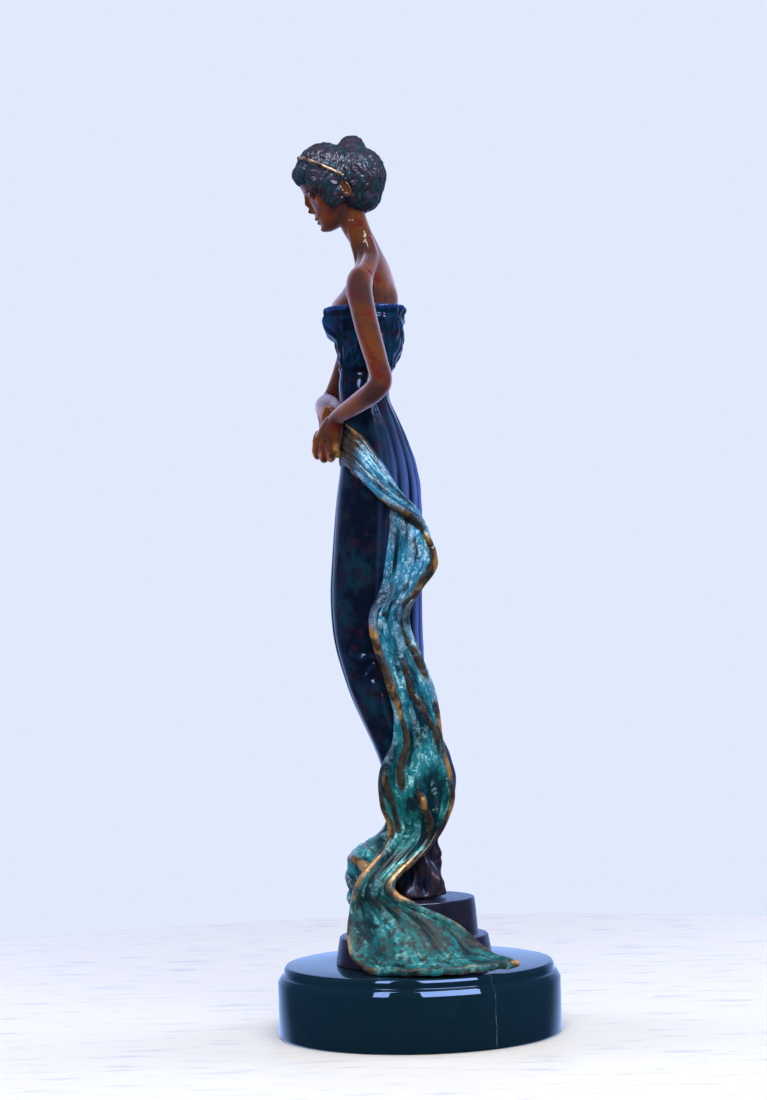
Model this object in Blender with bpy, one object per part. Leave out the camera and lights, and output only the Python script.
# A cast bronze figurine: a girl in a long strapless gown, holding a shawl whose ends trail down
# to her feet. She stands on a two-step bronze plinth, and the plinth on a turned marble base.
# +Z is up, the girl faces -Y, and her left hand side is +X.
# The origin is the centre of the marble base's underside.
import math

import bmesh
import bpy
import numpy as np
from mathutils import Euler, Vector

MM = 0.001

# Marble base, in millimetres
MARBLE_RADIUS = 55.0
MARBLE_RIM_HEIGHT = 23.6
MARBLE_RIM_WIDTH = 2.5
MARBLE_TOP_STEP = 3.7
MARBLE_EDGE_ROUND = 1.3
MARBLE_TOP_ROUND = 0.9
MARBLE_FOOT_BEVEL = 0.8
MARBLE_TURNS = 72

# Bronze plinth: two tapered drums, set forward of the marble's centre
PLINTH_SET_FORWARD = 1.6
LOWER_DRUM_RADIUS = 30.4
LOWER_DRUM_TAPER = 1.5
LOWER_DRUM_HEIGHT = 10.4
DRUM_LEDGE = 3.9
UPPER_DRUM_TAPER = 1.1
UPPER_DRUM_HEIGHT = 14.4
DRUM_EDGE_ROUND = 0.7
PLINTH_TURNS = 56

# What stands on another piece leaves this gap to it
SEAT_GAP = 0.3

# The figure, from the top of the plinth to the top-knot. Its tables below give its pose and
# carving in the same proportions.
FIGURE_HEIGHT = 298.0
FIGURE_TRIANGLES = 7400
CAST_VOXEL = 0.8
SHAWL_THICKNESS = 2.0

# The gown and the bare shoulders: height above the plinth, front, back, half width
GOWN = [
    (-1.0, -12.5, 12.0, 14.0),
    (6.0, -11.0, 11.4, 12.8),
    (14.0, -8.5, 9.3, 10.8),
    (21.0, -7.2, 8.4, 10.2),
    (29.0, -8.0, 12.0, 12.2),
    (38.0, -9.5, 15.2, 14.8),
    (46.0, -11.5, 16.4, 15.6),
    (55.0, -14.0, 14.0, 15.2),
    (64.0, -17.6, 10.2, 15.0),
    (77.0, -23.2, 6.5, 15.6),
    (88.0, -26.8, 4.6, 16.4),
    (101.0, -30.0, 4.0, 17.4),
    (117.0, -31.0, 4.2, 18.6),
    (132.0, -30.1, 4.5, 19.6),
    (155.0, -27.9, 4.9, 20.6),
    (169.0, -25.8, 3.4, 20.8),
    (184.0, -24.8, -1.6, 17.8),
    (195.0, -25.4, -5.6, 14.4),
    (202.0, -25.0, -5.4, 13.2),
    (206.0, -25.0, -3.2, 13.7),
    (211.0, -25.8, -0.4, 15.3),
    (217.0, -27.4, 1.0, 17.0),
    (225.0, -29.0, 1.3, 18.6),
    (231.0, -28.2, 1.4, 18.9),
]
SHOULDERS = [
    (226.0, -25.0, -0.2, 17.8),
    (234.0, -23.6, 0.2, 18.0),
    (240.0, -20.8, -1.4, 17.8),
    (244.5, -19.0, -2.6, 15.6),
    (248.5, -17.2, -4.2, 11.0),
    (252.0, -16.8, -5.6, 7.2),
    (256.0, -17.8, -7.2, 5.7),
    (260.0, -19.8, -9.0, 5.4),
    (265.0, -22.4, -11.2, 5.6),
    (271.0, -25.4, -13.6, 6.2),
    (276.0, -28.0, -17.0, 5.5),
]

# Arms: x, y, height above the plinth, radius, from the shoulder to the wrist
LEFT_ARM = [
    (7.0, -11.4, 240.5, 3.4),
    (12.5, -11.9, 241.2, 4.5),
    (16.6, -12.4, 239.2, 5.4),
    (19.2, -12.6, 233.6, 5.6),
    (21.6, -12.8, 225.5, 5.0),
    (25.0, -12.4, 213.5, 4.5),
    (28.2, -10.6, 205.0, 4.2),
    (30.0, -9.2, 198.6, 4.4),
    (27.0, -13.4, 194.6, 4.4),
    (19.0, -19.6, 190.8, 3.8),
    (10.0, -25.6, 187.4, 3.0),
    (6.5, -28.2, 184.0, 2.8),
]
RIGHT_ARM = [
    (-7.0, -12.4, 240.5, 3.4),
    (-12.5, -13.4, 241.2, 4.5),
    (-16.6, -14.4, 239.2, 5.4),
    (-19.4, -15.6, 233.6, 5.6),
    (-22.2, -17.8, 225.5, 5.0),
    (-26.5, -21.6, 213.0, 4.5),
    (-30.6, -25.4, 203.0, 4.2),
    (-33.0, -28.6, 196.2, 4.4),
    (-28.0, -30.6, 194.2, 4.5),
    (-17.0, -31.4, 192.4, 3.8),
    (-8.0, -31.4, 190.2, 3.0),
    (-4.0, -31.2, 188.0, 2.8),
]
# Fists: knuckle line centre, direction the fingers hang, direction across the knuckles
LEFT_FIST = ((5.5, -30.2, 177.6), (0.10, -0.16, -1.0), (0.45, 1.0, 0.0))
RIGHT_FIST = ((-1.5, -31.0, 186.0), (0.85, 0.15, -0.75), (0.25, 0.85, 0.45))
FINGER_SPACING = 2.6
FINGER_RADIUS = 1.55
FINGER_REACH = 7.0

# The shawl's left end. Each rung is a point of one long edge, the same of the other (x, y, height
# above the plinth), and how far the cloth between them stands out.
LEFT_SHAWL = [
    ((6.0, -26.0, 185.0), (2.0, -27.5, 173.0), (0.0, 0.0, 0.0)),
    ((17.0, -17.6, 179.0), (13.0, -22.6, 165.6), (1.5, -1.0, 0.0)),
    ((20.6, -9.0, 166.8), (19.4, -14.2, 155.6), (1.6, -0.6, 0.0)),
    ((18.6, -1.8, 158.0), (21.4, -5.8, 149.0), (1.2, 0.0, 0.5)),
    ((14.4, 3.4, 150.6), (17.6, 3.6, 144.8), (0.8, 0.4, 0.0)),
    ((17.0, -1.6, 148.4), (15.0, 9.0, 140.0), (1.6, 0.8, 0.0)),
    ((19.2, -6.8, 143.6), (13.0, 11.2, 134.6), (2.6, 0.8, 0.0)),
    ((19.4, -6.4, 132.8), (12.8, 10.3, 127.8), (2.6, 0.8, 0.0)),
    ((19.2, -10.8, 120.3), (14.2, 4.7, 119.9), (2.2, 0.4, 0.0)),
    ((18.4, -15.6, 110.2), (15.8, -0.4, 110.8), (1.6, 0.0, 0.0)),
    ((17.6, -14.6, 100.0), (14.8, 1.4, 100.8), (1.8, 0.0, 0.0)),
    ((16.6, -8.6, 82.0), (12.0, 8.2, 80.5), (2.8, 0.4, 0.0)),
    ((15.4, -7.0, 64.6), (12.0, 10.6, 61.0), (3.0, 0.4, 0.0)),
    ((15.2, -13.0, 50.0), (12.0, 14.0, 47.0), (4.0, 0.4, 0.0)),
    ((15.0, -12.8, 37.6), (11.4, 14.2, 36.4), (4.6, 0.4, 0.0)),
    ((15.6, -10.2, 25.0), (12.4, 7.4, 23.0), (3.0, 0.0, 0.0)),
]
# The shawl's right end, which ends in front of her ankles
RIGHT_SHAWL = [
    ((-2.0, -27.0, 190.0), (-3.0, -27.0, 178.0), (0.0, 0.0, 0.0)),
    ((-14.5, -20.4, 186.0), (-15.0, -21.0, 172.0), (-1.5, -1.5, 0.0)),
    ((-20.4, -10.0, 173.0), (-20.8, -13.6, 158.0), (-1.4, 0.0, 0.0)),
    ((-19.6, 0.0, 158.0), (-21.4, -8.6, 143.0), (-1.6, 0.4, 0.0)),
    ((-17.0, 4.0, 136.0), (-20.0, -12.0, 132.0), (-2.4, 0.4, 0.0)),
    ((-15.4, 2.6, 112.0), (-18.6, -15.0, 110.0), (-2.2, 0.0, 0.0)),
    ((-13.0, 4.0, 88.0), (-17.0, -12.6, 90.0), (-2.4, 0.0, 0.0)),
    ((-12.4, 7.6, 66.0), (-15.6, -8.6, 66.0), (-2.6, 0.0, 0.0)),
    ((-14.0, 8.0, 42.0), (-15.2, -9.6, 48.0), (-2.4, 0.0, 0.0)),
    ((-14.4, -2.0, 16.0), (-14.0, -10.6, 34.5), (-2.0, -1.0, 0.0)),
    ((-11.0, -16.0, 3.0), (-8.0, -16.8, 28.5), (-2.0, -3.0, 0.0)),
    ((-3.0, -24.2, -1.0), (-1.0, -22.2, 25.8), (0.0, -4.0, 0.0)),
    ((8.0, -24.2, -3.0), (7.0, -19.6, 23.6), (1.0, -3.4, 0.0)),
    ((15.0, -20.0, -3.0), (13.0, -14.0, 20.0), (2.0, -1.5, 0.0)),
]

# Head, in its own frame: chin to crown, tilt and place of its middle
HEAD_HEIGHT = 30.5
HEAD_TILT = math.radians(25)
HEAD_TURN = math.radians(4)
HEAD_PLACE = (0.0, -24.4, 278.4)
# Share of the head's height above the chin, then front, back and half width in the same shares
HEAD = [
    (0.000, -0.33, -0.16, 0.07),
    (0.035, -0.385, -0.08, 0.135),
    (0.10, -0.405, -0.01, 0.20),
    (0.18, -0.405, 0.07, 0.255),
    (0.27, -0.40, 0.16, 0.295),
    (0.37, -0.395, 0.27, 0.32),
    (0.50, -0.40, 0.38, 0.335),
    (0.62, -0.42, 0.44, 0.34),
    (0.75, -0.41, 0.45, 0.335),
    (0.87, -0.34, 0.38, 0.28),
    (0.96, -0.20, 0.24, 0.17),
    (1.000, -0.06, 0.10, 0.06),
]
# Hair masses, the top-knot first: x, y, height above the plinth, then the three radii
HAIR = [
    (0.0, -18.6, 291.6, 6.4, 6.6, 6.4),
    (0.0, -18.0, 281.4, 13.2, 13.4, 13.4),
    (0.0, -27.8, 284.6, 12.4, 12.0, 10.8),
    (0.0, -34.4, 282.8, 9.8, 7.0, 5.8),
    (0.0, -15.4, 273.6, 9.6, 8.6, 6.4),
    (9.2, -27.4, 279.6, 3.8, 8.6, 6.4),
    (-9.2, -27.4, 279.6, 3.8, 8.6, 6.4),
]

MARBLE_TOP_RADIUS = MARBLE_RADIUS - MARBLE_RIM_WIDTH
MARBLE_HEIGHT = MARBLE_RIM_HEIGHT + MARBLE_TOP_STEP
LOWER_DRUM_TOP_RADIUS = LOWER_DRUM_RADIUS - LOWER_DRUM_TAPER
UPPER_DRUM_RADIUS = LOWER_DRUM_TOP_RADIUS - DRUM_LEDGE
UPPER_DRUM_TOP_RADIUS = UPPER_DRUM_RADIUS - UPPER_DRUM_TAPER
LOWER_DRUM_TOP = MARBLE_HEIGHT + SEAT_GAP + LOWER_DRUM_HEIGHT
PLINTH_TOP = LOWER_DRUM_TOP + UPPER_DRUM_HEIGHT
SCALE = FIGURE_HEIGHT / (HAIR[0][2] + HAIR[0][5])


def clear_scene():
    for old in list(bpy.data.objects):
        bpy.data.objects.remove(old)


def bronze(name, colour, roughness):
    material = bpy.data.materials.new(name)
    material.use_nodes = True
    shader = material.node_tree.nodes["Principled BSDF"]
    shader.inputs["Base Color"].default_value = (*colour, 1.0)
    shader.inputs["Metallic"].default_value = 0.85
    shader.inputs["Roughness"].default_value = roughness
    return material


def black_marble():
    material = bpy.data.materials.new("black_marble")
    material.use_nodes = True
    shader = material.node_tree.nodes["Principled BSDF"]
    shader.inputs["Base Color"].default_value = (0.01, 0.012, 0.016, 1.0)
    shader.inputs["Roughness"].default_value = 0.08
    return material


def make_object(name, points, faces, material=None):
    """An object from points in millimetres."""
    mesh = bpy.data.meshes.new(name)
    mesh.from_pydata([Vector(p) * MM for p in points], [], faces)
    mesh.validate()
    obj = bpy.data.objects.new(name, mesh)
    bpy.context.scene.collection.objects.link(obj)
    if material:
        mesh.materials.append(material)
    return obj


def face_out(obj):
    """Points the faces of a closed mesh outwards."""
    shape = bmesh.new()
    shape.from_mesh(obj.data)
    bmesh.ops.recalc_face_normals(shape, faces=shape.faces)
    shape.to_mesh(obj.data)
    shape.free()


def smooth_rows(rows, steps):
    """Points on a smooth curve through rows of numbers, `steps` to each span."""
    rows = np.array(rows, float)
    padded = np.vstack([2 * rows[0] - rows[1], rows, 2 * rows[-1] - rows[-2]])
    found = []
    for i in range(1, len(padded) - 2):
        before, start, end, after = padded[i - 1 : i + 3]
        for t in np.arange(steps) / steps:
            found.append(
                0.5
                * (
                    2 * start
                    + (end - before) * t
                    + (2 * before - 5 * start + 4 * end - after) * t**2
                    + (3 * start - before - 3 * end + after) * t**3
                )
            )
    found.append(rows[-1])
    return np.array(found)


def loft(name, rings, material=None):
    """A closed body through rings of equally many points."""
    count = len(rings[0])
    points = [p for ring in rings for p in ring]
    faces = [
        (
            row * count + i,
            row * count + (i + 1) % count,
            (row + 1) * count + (i + 1) % count,
            (row + 1) * count + i,
        )
        for row in range(len(rings) - 1)
        for i in range(count)
    ]
    faces.append(tuple(reversed(range(count))))
    faces.append(tuple(range((len(rings) - 1) * count, len(rings) * count)))
    obj = make_object(name, points, faces, material)
    face_out(obj)
    return obj


def turned(name, profile, turns, centre_y, material):
    """A round piece from a profile of (radius, height), bottom to top."""
    rings = []
    for radius, height in profile:
        rings.append(
            [
                (
                    radius * math.cos(2 * math.pi * i / turns),
                    centre_y + radius * math.sin(2 * math.pi * i / turns),
                    height,
                )
                for i in range(turns)
            ]
        )
    obj = loft(name, rings, material)
    obj.data.shade_smooth()
    obj.data.set_sharp_from_angle(angle=math.radians(35))
    return obj


def rounded_corner(radius, height, size, steps=3):
    """Profile points round the outer top corner at (radius, height)."""
    turns = [math.pi / 2 * i / steps for i in range(steps + 1)]
    return [
        (radius - size + size * math.cos(t), height - size + size * math.sin(t))
        for t in turns
    ]


def marble_base():
    profile = [
        (MARBLE_RADIUS - MARBLE_FOOT_BEVEL, 0.0),
        (MARBLE_RADIUS, MARBLE_FOOT_BEVEL),
    ]
    profile += rounded_corner(MARBLE_RADIUS, MARBLE_RIM_HEIGHT, MARBLE_EDGE_ROUND)
    profile.append((MARBLE_TOP_RADIUS, MARBLE_RIM_HEIGHT + 0.1))
    profile += rounded_corner(
        MARBLE_TOP_RADIUS, MARBLE_HEIGHT, MARBLE_TOP_ROUND, steps=2
    )
    return turned("marble_base", profile, MARBLE_TURNS, 0.0, black_marble())


def plinth_profile(grow=0.0):
    """The two drums' outline, made larger all round by `grow`."""
    foot = MARBLE_HEIGHT + SEAT_GAP
    edge = DRUM_EDGE_ROUND
    return [
        (LOWER_DRUM_RADIUS + grow, foot - grow),
        *rounded_corner(
            LOWER_DRUM_TOP_RADIUS + grow, LOWER_DRUM_TOP + grow, edge, steps=2
        ),
        (UPPER_DRUM_RADIUS + grow, LOWER_DRUM_TOP + grow),
        *rounded_corner(
            UPPER_DRUM_TOP_RADIUS + grow, PLINTH_TOP + grow, edge, steps=2
        ),
    ]


def bronze_plinth():
    return turned(
        "bronze_plinth",
        plinth_profile(),
        PLINTH_TURNS,
        -PLINTH_SET_FORWARD,
        bronze("dark_bronze", (0.05, 0.035, 0.03), 0.35),
    )


def figure_point(x, y, above):
    return (x * SCALE, y * SCALE, PLINTH_TOP + above * SCALE)


def oval_rings(rows, around, carve=None):
    """Level rings from rows of (height, front, back, half width). carve(angle, height) adds to
    each ring's size along its own direction."""
    rings = []
    for height, front, back, half in rows:
        middle, depth = (front + back) / 2, (back - front) / 2
        ring = []
        for i in range(around):
            angle = 2 * math.pi * i / around
            more = carve(angle, height) if carve else 0.0
            ring.append(
                figure_point(
                    (half + more) * math.cos(angle),
                    middle + (depth + more) * math.sin(angle),
                    height,
                )
            )
        rings.append(ring)
    return rings


def hump(value, middle, spread):
    return math.exp(-(((value - middle) / spread) ** 2))


def gown_carving(angle, height):
    """Pleats down the back, the bust, the gathers of the bodice and the groove between the legs.
    The angle runs from +X towards the back."""
    back = max(0.0, math.sin(angle)) ** 0.7
    front = max(0.0, -math.sin(angle))
    across = math.cos(angle)
    below_waist = min(1.0, max(0.0, (196.0 - height) / 50.0))
    more = 0.9 * back * below_waist * math.cos(15 * angle)
    if height > 204:
        more += 0.45 * math.cos(20 * angle) * hump(height, 212, 8)
        for side in (-1, 1):
            more += 4.6 * front * hump(across, 0.44 * side, 0.3) * hump(height, 224, 7)
        more += 0.9 * hump(height, 230.5, 1.6)
    groove = hump(across, 0.05, 0.16) * front
    more -= 1.5 * groove * hump(height, 120, 55)
    more += 0.8 * math.cos(9 * angle) * hump(height, 2, 9)
    return more


def tube(name, rows, around=20):
    """A round limb through rows of (x, y, height above the plinth, radius)."""
    rows = smooth_rows(rows, 5)
    centres = [Vector(figure_point(*row[:3])) for row in rows]
    rings = []
    side = Vector((1, 0, 0))
    for i, centre in enumerate(centres):
        low, high = centres[max(i - 1, 0)], centres[min(i + 1, len(centres) - 1)]
        along = (high - low).normalized()
        side = (side - along * side.dot(along)).normalized()
        other = along.cross(side)
        radius = float(rows[i][3]) * SCALE
        rings.append(
            [
                centre
                + radius
                * (
                    side * math.cos(2 * math.pi * k / around)
                    + other * math.sin(2 * math.pi * k / around)
                )
                for k in range(around)
            ]
        )
    return loft(name, rings)


def ball(name, centre, radii):
    """An ellipsoid round a point of the figure."""
    shape = bmesh.new()
    bmesh.ops.create_uvsphere(shape, u_segments=28, v_segments=18, radius=1.0)
    for vert in shape.verts:
        vert.co = Vector(
            figure_point(*(c + r * v for c, r, v in zip(centre, radii, vert.co)))
        )
    points = [vert.co.copy() for vert in shape.verts]
    faces = [[v.index for v in face.verts] for face in shape.faces]
    shape.free()
    return make_object(name, points, faces)


def fist(name, place):
    """A closed hand: a palm, four curled fingers and a thumb."""
    knuckles, hang, across = (Vector(v) for v in place)
    hang.normalize()
    across = (across - hang * across.dot(hang)).normalized()
    inward = hang.cross(across)
    if inward.y < 0:
        inward = -inward
    parts = [ball(name + "_palm", knuckles - hang * 2.4 + inward * 1.2, (4.2, 5.0, 5.2))]
    for i in range(4):
        root = knuckles + across * FINGER_SPACING * (i - 1.5)
        rows = [
            (*(root - hang * 2.0), FINGER_RADIUS),
            (*(root + hang * 0.5 - inward * 0.6), FINGER_RADIUS * 1.1),
            (*(root + hang * FINGER_REACH * 0.7), FINGER_RADIUS),
            (*(root + hang * FINGER_REACH + inward * 2.2), FINGER_RADIUS),
            (*(root + hang * FINGER_REACH * 0.5 + inward * 3.8), FINGER_RADIUS * 0.9),
        ]
        parts.append(tube(f"{name}_finger_{i}", rows, around=12))
    return parts


def head_carving(share, angle):
    """How far the face stands forward at a height share and an angle from the nose."""
    nose_line = min(1.0, max(0.0, (0.58 - share) / 0.26))
    nose = 0.11 * nose_line * hump(share, 0.34, 0.13) * hump(angle, 0, 0.13)
    eyes = -0.035 * hump(share, 0.5, 0.05) * hump(abs(angle), 0.42, 0.16)
    brow = 0.012 * hump(share, 0.58, 0.03) * hump(abs(angle), 0.35, 0.3)
    lips = 0.022 * hump(share, 0.19, 0.035) * hump(angle, 0, 0.22)
    chin = 0.025 * hump(share, 0.06, 0.05) * hump(angle, 0, 0.25)
    return nose + eyes + brow + lips + chin


def to_figure(local):
    """A point of the head's own frame (shares of its height) as a point of the figure."""
    x, y, z = (HEAD_HEIGHT * value for value in local)
    point = Vector((x, y, z - HEAD_HEIGHT / 2))
    point.rotate(Euler((HEAD_TILT, 0, HEAD_TURN)))
    return figure_point(*(point + Vector(HEAD_PLACE)))


def head():
    rings = []
    around = 64
    for share, front, back, half in smooth_rows(HEAD, 5):
        middle, depth = (front + back) / 2, (back - front) / 2
        ring = []
        for i in range(around):
            angle = 2 * math.pi * i / around
            more = head_carving(share, math.remainder(angle, 2 * math.pi))
            ring.append(
                to_figure(
                    (
                        half * math.sin(angle),
                        middle - (depth + more) * math.cos(angle),
                        share,
                    )
                )
            )
        rings.append(ring)
    return loft("head", rings)


def plinth_spot(angle_degrees, radius, height):
    """A point at an angle round the plinth's axis, 0 towards +X and 90 towards the back."""
    angle = math.radians(angle_degrees)
    return (
        radius * math.cos(angle),
        -PLINTH_SET_FORWARD + radius * math.sin(angle),
        height,
    )


def train_rungs():
    """The shawl's left end below her ankles: over the plinth's edges and out on the marble."""
    marble = MARBLE_HEIGHT + SEAT_GAP + SHAWL_THICKNESS / 2
    off = SHAWL_THICKNESS / 2 + SEAT_GAP
    upper = UPPER_DRUM_TOP_RADIUS + off
    lower = LOWER_DRUM_RADIUS + off
    hem = MARBLE_TOP_RADIUS
    return [
        (
            plinth_spot(-46, upper + 2.0, PLINTH_TOP + 8.4),
            plinth_spot(-16, upper + 0.4, PLINTH_TOP + 7.4),
            (2.0, -1.0, 0.0),
        ),
        (
            plinth_spot(-62, upper + 1.0, PLINTH_TOP - 1.5),
            plinth_spot(2, upper + 1.2, PLINTH_TOP),
            (4.2, -2.4, 1.0),
        ),
        (
            plinth_spot(-52, lower - 0.2, LOWER_DRUM_TOP + 2.0),
            plinth_spot(35, lower - 1.8, LOWER_DRUM_TOP + 5.0),
            (10.0, 0.0, 0.6),
        ),
        (
            plinth_spot(-41, lower + 4.0, marble + 4.0),
            plinth_spot(47, lower + 7.0, marble + 7.0),
            (13.0, 0.0, 0.0),
        ),
        (
            plinth_spot(-25, hem - 10.6, marble),
            plinth_spot(47.5, hem + 0.6, marble + 0.9),
            (12.0, 0.0, 0.0),
        ),
    ]


def shawl(name, rungs, ripples):
    """A cloth between two long edges, with ripples along it, as a closed body."""
    across = 18
    thickness = SHAWL_THICKNESS
    rows = smooth_rows([np.concatenate(rung) for rung in rungs], 7)
    left, right, bow = rows[:, None, :3], rows[:, None, 3:6], rows[:, None, 6:]
    share = np.linspace(0, 1, across + 1)[None, :, None]
    grid = left * (1 - share) + right * share + bow * np.sin(share * math.pi)
    normal = np.cross(np.gradient(grid, axis=0), np.gradient(grid, axis=1))
    normal /= np.linalg.norm(normal, axis=2, keepdims=True) + 1e-9
    wave = ripples * np.sin(share * math.pi) * np.cos(share * math.pi * 5)
    grid = grid + normal * wave
    front, rear = grid + normal * thickness / 2, grid - normal * thickness / 2
    return loft(name, [[*front[i], *rear[i][::-1]] for i in range(len(grid))])


def seat_cutters():
    """The plinth and the space below the marble's top, grown by the gap: the cast figure is cut
    back to both."""
    plinth = turned(
        "plinth_clearance",
        plinth_profile(SEAT_GAP),
        PLINTH_TURNS,
        -PLINTH_SET_FORWARD,
        None,
    )
    reach = 2 * MARBLE_RADIUS
    below = [(reach, 0.0), (reach, MARBLE_HEIGHT + SEAT_GAP)]
    marble = turned("marble_clearance", below, MARBLE_TURNS, 0.0, None)
    for cutter in (plinth, marble):
        cutter.hide_render = True
        cutter.display_type = "WIRE"
    return plinth, marble


def faces_now(obj):
    """How many faces the object has after the modifiers it has so far."""
    graph = bpy.context.evaluated_depsgraph_get()
    graph.update()
    return len(obj.evaluated_get(graph).data.polygons)


def raised(rungs):
    """Rungs of the shawl, from heights above the plinth to places in the scene."""
    return [
        (figure_point(*left), figure_point(*right), np.array(bow) * SCALE)
        for left, right, bow in rungs
    ]


def bronze_figure():
    """All the figure's parts fused as one casting, then cut back to the plinth and the marble."""
    left_rungs = raised(LEFT_SHAWL) + train_rungs()
    right_rungs = raised(RIGHT_SHAWL)
    parts = [
        loft("gown", oval_rings(smooth_rows(GOWN, 6), 160, gown_carving)),
        loft("shoulders", oval_rings(smooth_rows(SHOULDERS, 4), 48)),
        tube("left_arm", LEFT_ARM),
        tube("right_arm", RIGHT_ARM),
        *fist("left_fist", LEFT_FIST),
        *fist("right_fist", RIGHT_FIST),
        head(),
        *(ball(f"hair_{i}", row[:3], row[3:]) for i, row in enumerate(HAIR)),
        shawl("left_shawl", left_rungs, 0.8),
        shawl("right_shawl", right_rungs, 0.8),
    ]
    figure = join("girl_figure", parts)
    figure.data.materials.append(bronze("patinated_bronze", (0.12, 0.08, 0.05), 0.4))

    fuse = figure.modifiers.new("fuse", "REMESH")
    fuse.mode = "VOXEL"
    fuse.voxel_size = CAST_VOXEL * SCALE * MM
    settle = figure.modifiers.new("settle", "SMOOTH")
    settle.iterations = 2
    thin = figure.modifiers.new("thin", "DECIMATE")
    thin.ratio = 1.0
    thin.ratio = FIGURE_TRIANGLES / (2 * faces_now(figure))
    for cutter in seat_cutters():
        cut = figure.modifiers.new("seat", "BOOLEAN")
        cut.operation = "DIFFERENCE"
        cut.object = cutter
    return figure


def join(name, parts):
    """One object from several meshes, which may pass through each other."""
    points, faces = [], []
    for part in parts:
        start = len(points)
        points += [vert.co / MM for vert in part.data.vertices]
        faces += [[start + i for i in face.vertices] for face in part.data.polygons]
        bpy.data.objects.remove(part)
    return make_object(name, points, faces)


def build():
    clear_scene()
    marble_base()
    bronze_plinth()
    bronze_figure()


build()
